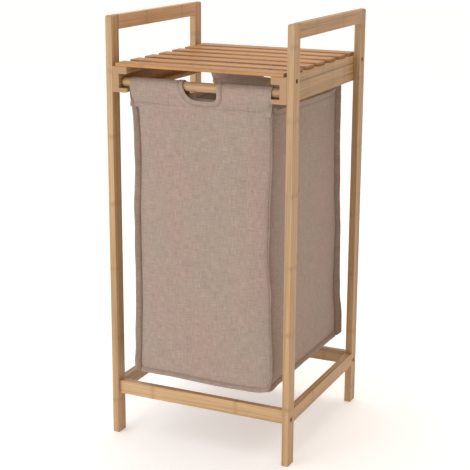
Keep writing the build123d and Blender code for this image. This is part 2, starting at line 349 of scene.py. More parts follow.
def settle(made):
    """Puts an object's modifiers into its mesh."""
    depsgraph = bpy.context.evaluated_depsgraph_get()
    mesh = bpy.data.meshes.new_from_object(made.evaluated_get(depsgraph))
    made.modifiers.clear()
    made.data = mesh
    return made


def thicken(made, thickness=CLOTH_T):
    """Gives a sheet the thickness of the cloth, half to each side, and drops points that nothing uses."""
    bm = bmesh.new()
    bm.from_mesh(made.data)
    bmesh.ops.delete(bm, geom=[v for v in bm.verts if not v.link_faces], context="VERTS")
    bm.to_mesh(made.data)
    bm.free()
    solid = made.modifiers.new("thickness", "SOLIDIFY")
    solid.thickness = thickness
    solid.offset = 0
    return settle(made)


def stitch_line(vertices, faces, points, normals, closed=False, start=0.0):
    """Adds a row of short thread stitches along points, lying on the cloth whose outward normals are given."""
    lengths = [0.0]
    path = points + points[:1] if closed else points
    facing = normals + normals[:1] if closed else normals
    for a, b in zip(path, path[1:]):
        lengths.append(lengths[-1] + (b - a).length)

    def at(distance):
        k = 1
        while k < len(lengths) - 1 and lengths[k] < distance:
            k += 1
        share = clamp((distance - lengths[k - 1]) / max(lengths[k] - lengths[k - 1], 1e-9))
        return path[k - 1].lerp(path[k], share), facing[k - 1].lerp(facing[k], share).normalized()

    sides = 6
    rings = ((0.0, 0.35, -0.5), (0.16, 0.85, 0.2), (0.5, 1.0, 0.55), (0.84, 0.85, 0.2), (1.0, 0.35, -0.5))
    distance = start
    while distance + STITCH_LENGTH < lengths[-1]:
        first = len(vertices)
        (a, _), (b, normal) = at(distance), at(distance + STITCH_LENGTH)
        along = (b - a).normalized()
        across = along.cross(normal).normalized()
        for share, size, rise in rings:
            centre = a.lerp(b, share) + normal * (CLOTH_T / 2 + rise * THREAD_R)
            for k in range(sides):
                turn = 2 * math.pi * k / sides
                vertices.append(centre + (across * math.cos(turn) + normal * math.sin(turn)) * size * THREAD_R)
        for ring in range(len(rings) - 1):
            for k in range(sides):
                p, q = first + ring * sides + k, first + ring * sides + (k + 1) % sides
                faces.append((p, p + sides, q + sides, q))
        faces.append(tuple(first + k for k in range(sides)))
        last = first + (len(rings) - 1) * sides
        faces.append(tuple(last + k for k in reversed(range(sides))))
        distance += STITCH_PITCH


def upright_stitches(vertices, faces, end, side, normal, heights):
    """Adds stitches up the allowance of an upright seam, on the layer that faces along normal."""
    line = [corner(end, side, z) + fin(end, side, z) * 0.36 + normal * FIN_GAP for z in heights]
    stitch_line(vertices, faces, line, [normal] * len(line))


# ---------------------------------------------------------------- front and back panels
def spread(breaks):
    """Ascending shares from (end, count) runs, starting at 0."""
    values = [0.0]
    for stop, count in breaks:
        first = values[-1]
        values += [mix(first, stop, (k + 1) / count) for k in range(count)]
    return values


def end_panel(end, name, node):
    """Front (-1) or back (1) panel with its allowances, sleeve and hand hole, as one sheet."""
    panel = EndPanel(end)
    across = spread([(0.04, 6), (0.28, 20), (0.70, 66), (0.96, 22), (1.0, 6)])
    low = seam_z(0)
    upward = [low, low + 0.0012, low + 0.0026] + run(low + 0.0045, SEAM_Z - 0.0045, 116)
    upward += [SEAM_Z - 0.0026, SEAM_Z - 0.0012] + panel.s
    outline = hand_hole(panel)
    columns = [("fin", -1, f) for f in FIN_STEPS] + [("body", u, 0) for u in across]
    columns += [("fin", 1, f) for f in reversed(FIN_STEPS)]
    rows = len(FIN_STEPS) + len(upward)
    span = SEAM_X[end, 1] - SEAM_X[end, -1]
    vertices, flat, lines = [], [], []
    places = []
    down = base_fin((0, end))
    layer = Vector((0, end, 0)) * FIN_GAP
    for r in range(rows):
        below = FIN_STEPS[r] if r < len(FIN_STEPS) else 0.0
        s = low if below else upward[r - len(FIN_STEPS)]
        for kind, value, f in columns:
            if kind == "body":
                x_here = mix(SEAM_X[end, -1], SEAM_X[end, 1], value)
                shift = (seam_z(x_here, FACE_Y[end]) - low) * (1 - smooth((s - low) / 0.2))
                point = panel.body(value, s + shift if s < SEAM_Z else s)
                point += down * below + layer * below
                if below:
                    point += Vector((0, end, 0)) * 0.0009 * ripple(30, 51, x_here) * below
                flat_x = value * span
                near = -1 if value < 0.5 else 1
                # painted shade along the upright seam, the sleeve's stitched line and the base seam
                line = SEAM_SHADE[end, near] * crease(min(value, 1 - value) * span, PAINTED_LINE_REACH)
                line = max(line if s < FIN_TOPS[end, near] else 0.0, crease(s - SEAM_Z) * 0.3)
                line = max(line, crease(s - low) if not below else 0.5 * crease(below * BASE_FIN_H))
            else:
                # painted shade on the allowance next to its seam
                line = SEAM_SHADE[end, value] * crease(f * FIN_W, PAINTED_LINE_REACH) if s < FIN_TOPS[end, value] else 0.0
                z = min(s, BAR_Z)
                foot = seam_z(SEAM_X[end, value], FACE_Y[end]) - low
                base = corner(end, value, z + foot * (1 - smooth((s - low) / 0.2)))
                step = fin(end, value, base.z)
                aside = Vector((-value * 0.7, end * 0.7, 0)) * FIN_GAP
                a, b = rounded(f, below)
                if s > BAR_Z - 0.012:
                    y, z, normal = panel.spot(s)
                    end_x = panel.body(0.0 if value < 0 else 1.0, s).x
                    point = Vector((end_x + value * f * FIN_W * 0.07, y, z))
                    point += normal * panel.lift(SLEEVE_X[value], s)
                else:
                    point = base + step * a + down * b + aside * min(1.0, 3 * f)
                flat_x = (0.0 if value < 0 else span) + value * f * FIN_W
            vertices.append(point)
            places.append((point.x, s))
            flat.append((flat_x, s - below * BASE_FIN_H))
            lines.append(line)
    skip = set()
    width = len(columns)
    for r in range(rows - 1):
        if r < len(FIN_STEPS) or upward[r - len(FIN_STEPS)] < SEAM_Z:
            continue
        for c in range(width - 1):
            ids = (r * width + c, r * width + c + 1, (r + 1) * width + c + 1, (r + 1) * width + c)
            x = sum(places[i][0] for i in ids) / 4
            s = sum(places[i][1] for i in ids) / 4
            if abs(x) < 0.05 and inside_of(outline, x, s):
                skip.add((r, c))
    touched = {}
    for r, c in skip:
        for i in (r * width + c, r * width + c + 1, (r + 1) * width + c + 1, (r + 1) * width + c):
            touched[i] = touched.get(i, 0) + 1
    for i, count in touched.items():
        if count < 4:
            x, s = places[i]
            near = min(outline, key=lambda p: (p.x - x) ** 2 + (p.y - s) ** 2)
            vertices[i] = panel.on(near.x, near.y)
            flat[i] = (near.x - SEAM_X[end, -1], near.y)
    faces = grid_faces(rows, width, skip)
    if end > 0:
        faces = [tuple(reversed(f)) for f in faces]
    made = thicken(new_object(name, vertices, faces, flat, lines))
    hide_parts(node)
    return made, panel, outline, (span + 2 * FIN_W, panel.top_s - low + BASE_FIN_H)


def end_stitches(end, panel, outline):
    """The thread seen on an end panel: both upright seams, the sleeve, the base seam and the hole's facing."""
    vertices, faces = [], []
    outward = Vector((0, end, 0))
    for side in (-1, 1):
        heights = run(0.133, FIN_TOPS[end, side] - 0.006, 120)
        upright_stitches(vertices, faces, end, side, Vector((-side * 0.7, end * 0.7, 0)), heights)
        x_near_end = SLEEVE_X[side] - side * 0.0075
        s_values = run(FIN_TOPS[end, side] - 0.004, BAR_Z + 0.024, 30)
        line = [panel.on(x_near_end, s) for s in s_values]
        stitch_line(vertices, faces, line, [panel.spot(s)[2] for s in s_values])
    hole_left, hole_right = min(p.x for p in outline), max(p.x for p in outline)
    for left, right in ((-0.118, hole_left - 0.010), (hole_right + 0.010, 0.118)):
        line = [panel.on(x, SEAM_Z + 0.0006) for x in run(left, right, 30)]
        stitch_line(vertices, faces, line, [outward] * len(line))
    down = base_fin((0, end))
    line = []
    for u in run(0.02, 0.98, 80):
        x = mix(SEAM_X[end, -1], SEAM_X[end, 1], u)
        line.append(panel.body(u, seam_z(x, FACE_Y[end])) + down * 0.3 + outward * (FIN_GAP + 0.0002))
    stitch_line(vertices, faces, line, [Vector((0, end * 0.9, 0.4))] * len(line))
    points, normals = [], []
    for point, out in outward_of(outline):
        place = point + out * (HOLE_BAND_W - 0.0017)
        points.append(panel.on(place.x, place.y, CLOTH_T / 2 + 0.0003))
        normals.append(panel.spot(place.y)[2])
    stitch_line(vertices, faces, points, normals, closed=True)
    return new_object("stitches_front" if end < 0 else "stitches_back", vertices, faces)


def outward_of(outline):
    """Each point of an outline with the direction that leads out of it."""
    count = len(outline)
    turning = 0.0
    for k in range(count):
        a, b = outline[k], outline[(k + 1) % count]
        turning += a.x * b.y - b.x * a.y
    sign = 1 if turning > 0 else -1
    pairs = []
    for k in range(count):
        tangent = (outline[(k + 2) % count] - outline[k - 2]).normalized()
        pairs.append((outline[k], Vector((tangent.y, -tangent.x)) * sign))
    return pairs


def hole_band(panel, outline, name):
    """The facing sewn round the hand hole: a raised strip on both layers of the sleeve, with painted shade lines at
    its edges.
    """
    # (offset from the hole's edge, height over the cloth, strength of the painted shade line)
    profile = (
        (-0.0002, -0.0009, 0.3), (-0.0006, -0.0002, 0.3), (-0.0004, 0.0004, 0.0), (0.0003, 0.0007, 0.0),
        (0.0028, 0.0006, 0.0), (HOLE_BAND_W - 0.0032, 0.0006, 0.0), (HOLE_BAND_W - 0.0018, 0.0003, 0.5),
        (HOLE_BAND_W - 0.0006, 0.0005, 0.1), (HOLE_BAND_W, 0.0003, 0.8), (HOLE_BAND_W + 0.0003, -0.0003, 1.0),
    )
    vertices, flat, faces, lines = [], [], [], []
    pairs = outward_of(outline)
    for k, (point, out) in enumerate(pairs):
        for offset, proud, line in profile:
            place = point + out * offset
            wave = 0.00012 * ripple(120, 61, place.x, place.y)
            vertices.append(panel.on(place.x, place.y, CLOTH_T / 2 + proud + wave))
            flat.append((place.x + 0.4, place.y))
            lines.append(line)
    width = len(profile)
    count = len(pairs)
    for k in range(count):
        following = (k + 1) % count
        for c in range(width - 1):
            a, b = k * width + c, following * width + c
            faces.append((a, b, b + 1, a + 1))
    return thicken(new_object(name, vertices, faces, flat, lines), 0.0005)


# ---------------------------------------------------------------- side panels
# height of a side's top edge: (y, height)
SIDE_TOPS = {
    -1: (
        (-0.152, 0.5970), (-0.135, 0.5880), (-0.04, 0.5810),
        (0.03, 0.5768), (0.10, 0.5752), (0.150, 0.5800),
    ),
    1: (
        (-0.152, 0.5990), (-0.135, 0.5930), (-0.04, 0.5905),
        (0.063, 0.5875), (0.115, 0.5870), (0.150, 0.5905),
    ),
}


def side_top(side, y):
    """Height of a side's top edge, which sags between the two bars."""
    return along(y, SIDE_TOPS[side]) + 0.0010 * ripple(26, 81 + side, y)


def side_point(side, v, z, top):
    """Point of a side at share v of its depth and height z, under a top edge at the height top."""
    front, back = corner(-1, side, min(z, SIDE_CAP_Z)), corner(1, side, min(z, SIDE_CAP_Z))
    x = mix(front.x, back.x, v)
    y = mix(front.y, back.y, v)
    low = smooth((z - seam_z(x)) / 0.03)
    out = 0.0048 * edge(v, 5.0) * low * mix(1.0, 0.55, smooth((z - 0.45) / 0.14))
    out += 0.0016 * ripple(8, 71 + side, y, z) * low * edge(v)
    out += 0.0008 * ripple(21, 75 + side, y, z * 0.6) * low * edge(v)
    hang = smooth((z - (top - 0.09)) / 0.09)
    out += 0.0022 * ripple(13, 78 + side, y) * hang * edge(v)
    out -= 0.0012 * crease(min(v, 1 - v) * SIDE_SPAN, 0.004)
    return Vector((x + side * out, y, z))


def side_panel(side, name, node):
    """Left (-1) or right (1) panel with its allowances and its hem, as one sheet."""
    down_along = spread([(0.04, 5), (0.96, 76), (1.0, 5)])
    columns = [("fin", -1, f) for f in FIN_STEPS] + [("body", v, 0) for v in down_along]
    columns += [("fin", 1, f) for f in reversed(FIN_STEPS)]
    heights = spread([(0.94, 100), (1.0, 20)])
    # the hem turned over the top edge: (inwards, up)
    turnover = [(0.0004, 0.0006), (0.0011, 0.0009), (0.0018, 0.0003)]
    turnover += [(0.0019, -HEM_H * k / 5) for k in range(1, 6)]
    rows = len(FIN_STEPS) + len(heights) + len(turnover)
    width = len(columns)
    down = base_fin((side, 0))
    vertices, flat, lines = [], [], []
    for r in range(rows):
        below = FIN_STEPS[r] if r < len(FIN_STEPS) else 0.0
        upper = r - len(FIN_STEPS)
        share = 0.0 if below else heights[min(upper, len(heights) - 1)]
        over = turnover[upper - len(heights)] if upper >= len(heights) else None
        for kind, value, f in columns:
            y_here = mix(*SIDE_Y, value) if kind == "body" else value * SIDE_FIN_Y
            top = side_top(side, y_here)
            base_z = seam_z(SEAM_X[-1, side], y_here)
            z = mix(base_z, top, share) + (over[1] if over else 0.0)
            if kind == "body":
                point = side_point(side, value, z, top)
                over_hem = z - (top - HEM_H - 0.001)
                point.x += side * 0.0008 * smooth(over_hem / 0.0012)
                if below:
                    line = 0.0
                    point += down * below
                    point.x += side * (FIN_GAP + 0.0009 * ripple(30, 53 + side, y_here)) * below
                else:
                    # painted shade along the upright seams, the fold of the hem and the base seam
                    at_seam = crease(min(value, 1 - value) * SIDE_SPAN, PAINTED_LINE_REACH)
                    line = max(at_seam, crease(over_hem, 0.003), crease(z - base_z))
                flat_y = mix(0.0, SIDE_SPAN, value)
            else:
                end = value
                # painted shade on the allowance next to its seam
                line = crease(f * FIN_W, PAINTED_LINE_REACH)
                base = corner(end, side, z)
                step = fin(end, side, z)
                a, b = rounded(f, below)
                a *= mix(0.3, 1.0, smooth((top - z) / 0.016))
                aside = Vector((side * 0.7, -end * 0.7, 0)) * FIN_GAP
                point = base + step * a + down * b + aside * min(1.0, 3 * f)
                flat_y = (0.0 if end < 0 else SIDE_SPAN) + end * f * FIN_W
            if over:
                point += Vector((-side * over[0], 0, 0))
                line = 0.0
            vertices.append(point)
            flat.append((flat_y, z - below * BASE_FIN_H + (abs(over[1]) + over[0] if over else 0.0)))
            lines.append(line)
    faces = grid_faces(rows, width)
    if side < 0:
        faces = [tuple(reversed(f)) for f in faces]
    made = thicken(new_object(name, vertices, faces, flat, lines))
    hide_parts(node)
    return made, (SIDE_SPAN + 2 * FIN_W, SIDE_FLAT_H + BASE_FIN_H + HEM_H)


def side_stitches(side):
    """The thread seen on a side: both rows of the hem, the upright seams and the base seam."""
    vertices, faces = [], []
    outward = Vector((side, 0, 0))
    for drop in (0.0016, HEM_H - 0.0006):
        line = []
        for v in run(0.012, 0.988, 100):
            y = mix(*SIDE_Y, v)
            top = side_top(side, y)
            line.append(side_point(side, v, top - drop, top) + outward * 0.0003)
        stitch_line(vertices, faces, line, [outward] * len(line))
    for end in (-1, 1):
        heights = run(0.135, FIN_TOPS[end, side] - 0.025, 110)
        upright_stitches(vertices, faces, end, side, Vector((side * 0.7, -end * 0.7, 0)), heights)
    down = base_fin((side, 0))
    line = []
    for v in run(0.02, 0.98, 100):
        z = seam_z(SEAM_X[-1, side], mix(*SIDE_Y, v))
        line.append(side_point(side, v, z, 0.59) + down * 0.3 + outward * (FIN_GAP + 0.0002))
    stitch_line(vertices, faces, line, [Vector((side * 0.9, 0, 0.4))] * len(line))
    return new_object("stitches_left" if side < 0 else "stitches_right", vertices, faces)


# ---------------------------------------------------------------- base panel
def base_panel():
    """The base with the allowances that hang down round it, as one sheet."""
    inner = spread([(0.05, 4), (0.95, 60), (1.0, 4)])
    steps = [(-1, f) for f in FIN_STEPS] + [(0, u) for u in inner] + [(1, f) for f in reversed(FIN_STEPS)]
    vertices, flat = [], []
    for end_y, b_value in steps:
        v = b_value if end_y == 0 else (0.0 if end_y < 0 else 1.0)
        b = b_value if end_y else 0.0
        for end_x, a_value in steps:
            u = a_value if end_x == 0 else (0.0 if end_x < 0 else 1.0)
            a = a_value if end_x else 0.0
            front, back = (corner(end, -1, BASE_CORNER_Z).lerp(corner(end, 1, BASE_CORNER_Z), u) for end in (-1, 1))
            point = front.lerp(back, v)
            point.z = seam_z(point.x, point.y)
            sag = edge(u, 4) * edge(v, 4)
            point.z -= (0.0035 + 0.0012 * ripple(12, 91, point.x, point.y)) * sag
            ra, rb = rounded(a, b)
            point += base_fin((end_x, 0)) * ra + base_fin((0, end_y)) * rb
            point -= Vector((end_x * a, end_y * b, 0)) * FIN_GAP
            vertices.append(point)
            flat_x = mix(0.0, BASE_SPAN, u) + end_x * a * BASE_FIN_H
            flat.append((flat_x, mix(0.0, SIDE_SPAN, v) + end_y * b * BASE_FIN_H))
    faces = [tuple(reversed(f)) for f in grid_faces(len(steps), len(steps))]
    made = thicken(new_object("bag_base_cloth", vertices, faces, flat))
    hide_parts("bag_base")
    return made, (BASE_SPAN + 2 * BASE_FIN_H, SIDE_SPAN + 2 * BASE_FIN_H)


# ---------------------------------------------------------------- materials
def srgb(red, green, blue):
    """Linear colour from 0-255 display values."""
    values = []
    for channel in (red, green, blue):
        c = channel / 255
        values.append(c / 12.92 if c <= 0.04045 else ((c + 0.055) / 1.055) ** 2.4)
    return (*values, 1.0)


class Tree:
    """Short calls for building a material's nodes."""

    def __init__(self, name):
        self.material = bpy.data.materials.new(name)
        self.material.use_nodes = True
        self.tree = self.material.node_tree
        self.tree.nodes.clear()
        self.out = self.tree.nodes.new("ShaderNodeOutputMaterial")

    def put(self, kind, inputs=None, **settings):
        made = self.tree.nodes.new("ShaderNode" + kind)
        for key, value in settings.items():
            setattr(made, key, value)
        for key, value in (inputs or {}).items():
            if isinstance(value, bpy.types.NodeSocket):
                self.tree.links.new(value, made.inputs[key])
            else:
                made.inputs[key].default_value = value
        return made

    def math(self, operation, a, b=0.0, c=0.0, clamped=False):
        return self.put("Math", {0: a, 1: b, 2: c}, operation=operation, use_clamp=clamped).outputs[0]

    def noise(self, vector, scale, detail=2.0, roughness=0.5):
        return self.put(
            "TexNoise", {"Vector": vector, "Scale": scale, "Detail": detail, "Roughness": roughness}
        ).outputs["Fac"]

    def stretched(self, x, y, z, sx, sy, sz):
        return self.put(
            "CombineXYZ",
            {0: self.math("MULTIPLY", x, sx), 1: self.math("MULTIPLY", y, sy), 2: self.math("MULTIPLY", z, sz)},
        ).outputs[0]

    def blend(self, share, a, b, how="MIX"):
        made = self.put("Mix", data_type="RGBA", blend_type=how)
        for key, value in ((0, share), (6, a), (7, b)):
            if isinstance(value, bpy.types.NodeSocket):
                self.tree.links.new(value, made.inputs[key])
            else:
                made.inputs[key].default_value = value
        return made.outputs[2]

    def ramp(self, value, low, high, out_low=0.0, out_high=1.0):
        return self.put(
            "MapRange", {0: value, 1: low, 2: high, 3: out_low, 4: out_high}, interpolation_type="SMOOTHSTEP"
        ).outputs[0]

    def grey(self, value):
        return self.put("CombineColor", {0: value, 1: value, 2: value}).outputs[0]

    def bump(self, height, strength, distance):
        return self.put("Bump", {"Strength": strength, "Distance": distance, "Height": height}).outputs[0]

    def surface(self, **inputs):
        shader = self.put("BsdfPrincipled", {k.replace("_", " "): v for k, v in inputs.items()})
        self.tree.links.new(shader.outputs[0], self.out.inputs[0])
        return self.material


BAMBOO_LIGHT = srgb(197, 165, 124)
BAMBOO_DEEP = srgb(166, 124, 77)
BAMBOO_KNOT = srgb(112, 78, 46)
BAMBOO_END = srgb(170, 132, 92)
STRIP_W = 0.0061  # width of the glued strips


def bamboo(name, axis, seed, knots=(), joints=(), tone=0.0, tint=(1.0, 1.0, 1.0), glue_z=None):
    """Laminated bamboo with its fibres along an axis.

    knots and joints are places along it in metres, and glue_z is the height of a glue line between two boards.
    """
    t = Tree(name)
    place = t.put("TexCoord").outputs["Object"]
    parts = t.put("SeparateXYZ", {0: place}).outputs
    order = {0: (1, 2, 0), 1: (0, 2, 1), 2: (0, 1, 2)}[axis]
    a, b, along = (parts[k] for k in order)
    a = t.math("ADD", a, seed * 0.137)
    b = t.math("ADD", b, seed * 0.071)
    shifted = t.math("ADD", along, seed * 0.413)
    warp = t.noise(t.stretched(a, b, shifted, 14, 14, 4), 1.0, 1.0)
    a_w = t.math("MULTIPLY_ADD", warp, 0.004, a)
    fibre = t.noise(t.stretched(a_w, b, shifted, 900, 900, 9), 1.0, 3.0, 0.6)
    strand = t.noise(t.stretched(a_w, b, shifted, 260, 260, 3.2), 1.0, 2.0)
    cloud = t.noise(t.stretched(a, b, shifted, 26, 26, 5), 1.0, 2.0)
    # glued strips, each its own shade
    strip = t.math("FLOOR", t.math("DIVIDE", t.math("ADD", a, b), STRIP_W))
    shade = t.put("TexWhiteNoise", {"W": t.math("ADD", strip, seed)}, noise_dimensions="1D").outputs["Value"]
    colour = t.blend(t.math("MULTIPLY_ADD", cloud, 0.5, t.math("MULTIPLY", strand, 0.35)), BAMBOO_LIGHT, BAMBOO_DEEP)
    level = t.math("MULTIPLY_ADD", fibre, 0.95, tone)
    level = t.math("MULTIPLY_ADD", strand, 1.05, level)
    level = t.math("MULTIPLY_ADD", shade, 0.14, t.math("SUBTRACT", level, 0.07))
    rings = 0.0
    for spot in knots:
        wobble = t.math("MULTIPLY_ADD", t.noise(t.stretched(a, b, along, 90, 90, 2), 1.0, 1.0), 0.005, along)
        gap = t.math("ABSOLUTE", t.math("SUBTRACT", wobble, spot + 0.0025))
        thin = t.ramp(gap, 0.0003, 0.0018, 0.6, 0.0)
        halo = t.ramp(gap, 0.001, 0.0075, 0.4, 0.0)
        rings = t.math("ADD", rings, t.math("MAXIMUM", thin, halo), clamped=True)
    lines = 0.0
    for spot in joints:
        gap = t.math("ABSOLUTE", t.math("SUBTRACT", along, spot))
        lines = t.math("ADD", lines, t.ramp(gap, 0.0003, 0.0008, 0.75, 0.0), clamped=True)
        level = t.math("ADD", level, t.ramp(along, spot - 0.0002, spot + 0.0002, -0.022, 0.022))
    colour = t.blend(1.0, colour, t.grey(level), "MULTIPLY")
    colour = t.blend(1.0, colour, (*tint, 1.0), "MULTIPLY")
    if glue_z:
        gap = t.math("ABSOLUTE", t.math("SUBTRACT", parts[2], glue_z))
        colour = t.blend(t.ramp(gap, 0.0004, 0.0012, 0.75, 0.0), colour, BAMBOO_KNOT)
    if knots:
        patchy = t.math("MULTIPLY", rings, t.ramp(strand, 0.4, 0.62, 0.15, 1.0))
        colour = t.blend(t.math("MULTIPLY", patchy, 0.62), colour, BAMBOO_KNOT)
    if joints:
        colour = t.blend(t.math("MULTIPLY", lines, 0.6), colour, BAMBOO_KNOT)
    # end grain: bundles of fibres seen end on
    normal = t.put("SeparateXYZ", {0: t.put("NewGeometry").outputs["Normal"]}).outputs[axis]
    end_on = t.ramp(t.math("ABSOLUTE", normal), 0.75, 0.95)
    dots = t.put("TexVoronoi", {"Vector": place, "Scale": 1150.0}).outputs["Distance"]
    end_colour = t.blend(t.ramp(dots, 0.12, 0.42), BAMBOO_DEEP, BAMBOO_END)
    colour = t.blend(end_on, colour, end_colour)
    height = t.math("ADD", fibre, t.math("MULTIPLY", rings, -0.6) if knots else 0.0)
    bump = t.bump(height, 0.25, 0.00035)
    rough = t.math("MULTIPLY_ADD", fibre, 0.16, 0.44)
    return t.surface(
        Base_Color=colour, Roughness=rough, Normal=bump, Coat_Weight=0.1, Coat_Roughness=0.4, IOR=1.45
    )


LINEN_WARM = srgb(168, 146, 134)
LINEN_COOL = srgb(164, 148, 134)
# colour of the painted shade in the weave's gaps, along seams and folds, and in the thread's twist
LINEN_SHADE = srgb(104, 82, 71)
THREAD_PITCH = 0.00105  # of the weave, wider than real thread so that it shows


def linen(name, tone=1.0):
    """Plain-woven linen: two crossing sets of uneven threads, with slubs, a soft drift of colour, and painted shade
    in the weave's gaps and along seams and folds.
    """
    t = Tree(name)
    place = t.put("Attribute", attribute_name="cut", attribute_type="GEOMETRY").outputs["Vector"]
    u, s, _ = t.put("SeparateXYZ", {0: place}).outputs

    def uneven(across, up, detail=2.0, roughness=0.5):
        return t.noise(t.stretched(u, s, 0.0, across, up, 1), 1.0, detail, roughness)

    drift = uneven(10, 8)
    u_w = t.math("MULTIPLY_ADD", uneven(260, 30), 0.0009, u)
    s_w = t.math("MULTIPLY_ADD", uneven(30, 260), 0.0009, s)
    wave_u = t.math("SINE", t.math("MULTIPLY", u_w, math.pi / THREAD_PITCH))
    wave_s = t.math("SINE", t.math("MULTIPLY", s_w, math.pi / THREAD_PITCH))
    over = t.math("MULTIPLY_ADD", t.math("MULTIPLY", wave_u, wave_s), 0.5, 0.5)
    warp = t.math("MULTIPLY", t.math("ABSOLUTE", wave_u), over)
    weft = t.math("MULTIPLY", t.math("ABSOLUTE", wave_s), t.math("SUBTRACT", 1.0, over))
    weave = t.math("MAXIMUM", warp, weft)
    slub_up, slub_across = uneven(780, 60, 3.0, 0.65), uneven(60, 780, 3.0, 0.65)
    coarse_up, coarse_across = uneven(240, 14), uneven(14, 240)
    patch = uneven(22, 13, 3.0)
    cool = t.ramp(t.math("MULTIPLY_ADD", drift, 0.75, t.math("MULTIPLY", patch, 0.25)), 0.36, 0.64)
    colour = t.blend(cool, LINEN_WARM, LINEN_COOL)
    level = t.math("MULTIPLY_ADD", slub_up, 0.78, 0.08)
    level = t.math("MULTIPLY_ADD", slub_across, 0.78, level)
    level = t.math("MULTIPLY_ADD", coarse_up, 0.13, level)
    level = t.math("MULTIPLY_ADD", coarse_across, 0.09, level)
    level = t.math("MULTIPLY_ADD", weave, 0.12, t.math("SUBTRACT", level, 0.06))
    level = t.math("MULTIPLY", level, tone)
    colour = t.blend(1.0, colour, t.grey(level), "MULTIPLY")
    # painted shade in the gaps between the threads
    weave_gap_shade = t.ramp(weave, 0.0, 0.35, 0.30, 0.0)
    colour = t.blend(weave_gap_shade, colour, LINEN_SHADE)
    # painted shade along seams, hem folds and the facing's edges, read from the seam attribute
    seam = t.put("Attribute", attribute_name="seam", attribute_type="GEOMETRY").outputs["Fac"]
    colour = t.blend(t.math("MULTIPLY", seam, 0.55), colour, LINEN_SHADE)
    height = t.math("ADD", weave, t.math("MULTIPLY", t.math("ADD", slub_up, slub_across), 0.8))
    bump = t.bump(height, 0.55, 0.0004)
    rough = t.math("MULTIPLY_ADD", weave, -0.08, 0.94)
    return t.surface(
        Base_Color=colour, Roughness=rough, Normal=bump, Sheen_Weight=0.25, Sheen_Roughness=0.5,
        Specular_IOR_Level=0.2,
    )


def thread(name):
    """Twisted sewing thread, with painted shade in the grooves of its twist."""
    t = Tree(name)
    place = t.put("TexCoord").outputs["Object"]
    x, y, z = t.put("SeparateXYZ", {0: place}).outputs
    twist = t.math("SINE", t.math("MULTIPLY", t.math("ADD", t.math("ADD", x, y), z), 14000.0))
    uneven = t.noise(place, 400.0)
    colour = t.blend(uneven, srgb(150, 124, 112), srgb(172, 148, 134))
    # painted shade in the grooves of the twist
    colour = t.blend(t.ramp(twist, -1.0, 0.2, 0.25, 0.0), colour, LINEN_SHADE)
    bump = t.bump(twist, 0.4, 0.0001)
    rough = t.math("MULTIPLY_ADD", uneven, 0.2, 0.5)
    return t.surface(Base_Color=colour, Roughness=rough, Normal=bump, Sheen_Weight=0.15)


def steel(name):
    """Dark screw steel, dulled and a little stained."""
    t = Tree(name)
    place = t.put("TexCoord").outputs["Object"]
    brushed = t.noise(place, 2600.0, 4.0)
    stain = t.noise(place, 320.0, 3.0)
    colour = t.blend(t.ramp(stain, 0.35, 0.7), srgb(46, 42, 38), srgb(24, 21, 18))
    rough = t.math("MULTIPLY_ADD", brushed, 0.3, 0.28)
    bump = t.bump(brushed, 0.3, 0.0001)
    return t.surface(Base_Color=colour, Roughness=rough, Normal=bump, Metallic=0.9)


def floor_paint(name):
    """White studio floor that glows a little, so that it stays white in the shade."""
    t = Tree(name)
    place = t.put("TexCoord").outputs["Object"]
    soft = t.noise(place, 3.0, 2.0)
    colour = t.blend(soft, (0.90, 0.90, 0.895, 1.0), (0.93, 0.93, 0.925, 1.0))
    return t.surface(
        Base_Color=colour, Roughness=0.8, Specular_IOR_Level=0.1,
        Emission_Color=(1.0, 1.0, 1.0, 1.0), Emission_Strength=0.3,
    )


def finish_node(node, material):
    """Gives a CAD part its material."""
    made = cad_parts[node]
    made.data.materials.clear()
    made.data.materials.append(material)


X, Y, Z = 0, 1, 2
# places of the bamboo's nodes and of the glued end joints along each piece, in metres
KNOTS = {
    "post_front_right": (0.100, 0.230, 0.342, 0.460, 0.580, 0.695),
    "post_front_left": (0.060, 0.175, 0.300, 0.415, 0.530, 0.640),
    "post_back_right": (0.030, 0.140, 0.250, 0.362, 0.490, 0.610, 0.700),
    "post_back_left": (0.090, 0.210, 0.330, 0.450, 0.560, 0.672),
    "front_stretcher": (-0.090, 0.068),
    "back_stretcher": (-0.020, 0.110),
    "side_stretcher_left": (-0.080, 0.060),
    "side_stretcher_right": (-0.055, 0.090),
    "hand_rail_left": (-0.045, 0.085),
    "hand_rail_right": (-0.070, 0.050),
    "shelf_bearer_left": (-0.110, 0.020),
    "shelf_bearer_right": (-0.010, 0.120),
    "grooved_runner_left": (-0.030, 0.100),
    "grooved_runner_right": (-0.120, 0.095),
    "front_bar": (-0.010,),
    "back_bar": (0.060,),
}
JOINTS = {
    "shelf_bearer_right": (-0.076, 0.038),
    "grooved_runner_right": (-0.072, 0.040),
    "shelf_bearer_left": (-0.060, 0.052),
    "grooved_runner_left": (-0.088, 0.030),
}
# direction of the fibres, by the start of the piece's name
AXES = {
    "post": Z, "front_stretcher": X, "back_stretcher": X, "side_stretcher": Y, "hand_rail": Y, "shelf_bearer": Y,
    "grooved_runner": Y, "shelf_slat": X, "front_bar": X, "back_bar": X, "dowel": Y,
}
SLAT_KNOTS = (
    (-0.100, 0.045), (-0.035, 0.105), (-0.130, 0.015), (-0.060, 0.080),
    (-0.005, 0.125), (-0.085, 0.060), (-0.020,),
)
# how much lighter or darker a piece is than the rest
TONES = {
    "front_stretcher": 0.05, "back_stretcher": -0.16, "side_stretcher_left": -0.14, "front_bar": 0.02,
    "hand_rail_left": 0.30, "hand_rail_right": -0.09, "post_back_right": -0.12, "shelf_bearer_right": -0.09,
    "grooved_runner_right": -0.10,
}
SLAT_TINT = (0.95, 0.73, 0.44)
NO_TINT = (1.0, 1.0, 1.0)
GLUE_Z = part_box("shelf_bearer_left")[0].z

